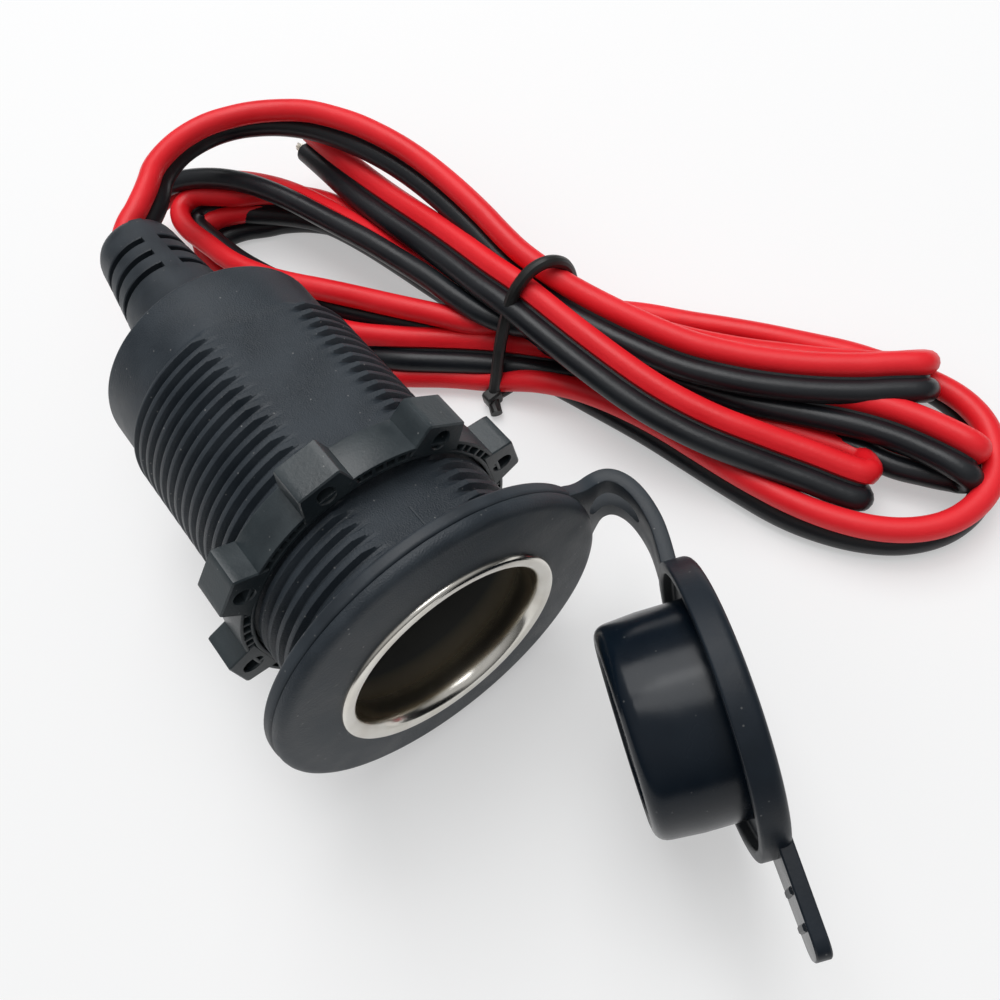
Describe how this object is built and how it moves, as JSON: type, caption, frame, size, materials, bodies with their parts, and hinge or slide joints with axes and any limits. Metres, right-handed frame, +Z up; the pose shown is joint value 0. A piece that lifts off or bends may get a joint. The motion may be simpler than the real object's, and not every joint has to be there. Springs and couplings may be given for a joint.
{
  "type": "car 12 volt power socket",
  "caption": "Panel mounted 12 volt power socket with flange, threaded barrel, winged lock nut, tethered rubber cap, rear boot and a tied twin lead.",
  "frame": {"origin": "centre of the socket's mouth, on the bore's axis, in the plane of the lip's widest circle", "axes": "-Y out of the mouth along the bore, +X towards the side that the cap is tethered on, +Z up from the surface that the socket and its lead lie on"},
  "size_m": [0.0875, 0.1337, 0.038],
  "materials": {
    "plated_liner": "nickel plate, satin inside and bright on the rolled lip",
    "housing_plastic": "fine moulded grain",
    "nut_plastic": "satin moulded plastic",
    "cap_rubber": "soft satin rubber",
    "boot_rubber": "smooth moulded rubber",
    "red_wire": "satin wire insulation",
    "black_wire": "satin wire insulation",
    "tie_plastic": "smooth plastic",
    "tinned_copper": "tinned copper strands",
    "insulator_plastic": "fibre",
    "contact_brass": "dull brass",
    "terminal_steel": "stamped"
  },
  "bodies": {
    "socket": {"contact_liner": "plated_liner", "socket_housing": "housing_plastic", "cap_ring": "cap_rubber", "cap_strap": "cap_rubber", "strain_relief": "boot_rubber", "inner_wire_red": "red_wire", "inner_wire_black": "black_wire", "lead_red": "red_wire", "lead_black": "black_wire", "lead_hank": "red_wire", "cable_tie": "tie_plastic", "bare_tips": "tinned_copper", "centre_insulator": "insulator_plastic", "centre_contact": "contact_brass", "contact_rivet": "contact_brass", "rear_washer": "insulator_plastic", "positive_terminal": "terminal_steel", "negative_terminal": "terminal_steel"},
    "lock_nut": {"lock_nut": "nut_plastic"},
    "cap": {"dust_cap": "cap_rubber"}
  },
  "joints": [
    {"name": "cap_swing", "type": "hinge", "parent": "socket", "child": "cap", "pos_m": [0.0227, 0.00105, 0], "axis": [0, 0, 1], "range_deg": [-66.1, 34], "deforming": ["cap_strap"]},
    {"name": "nut_turn", "type": "hinge", "parent": "socket", "child": "lock_nut", "pos_m": [0, 0.0146, 0], "axis": [0, 1, 0], "continuous": true}
  ]
}
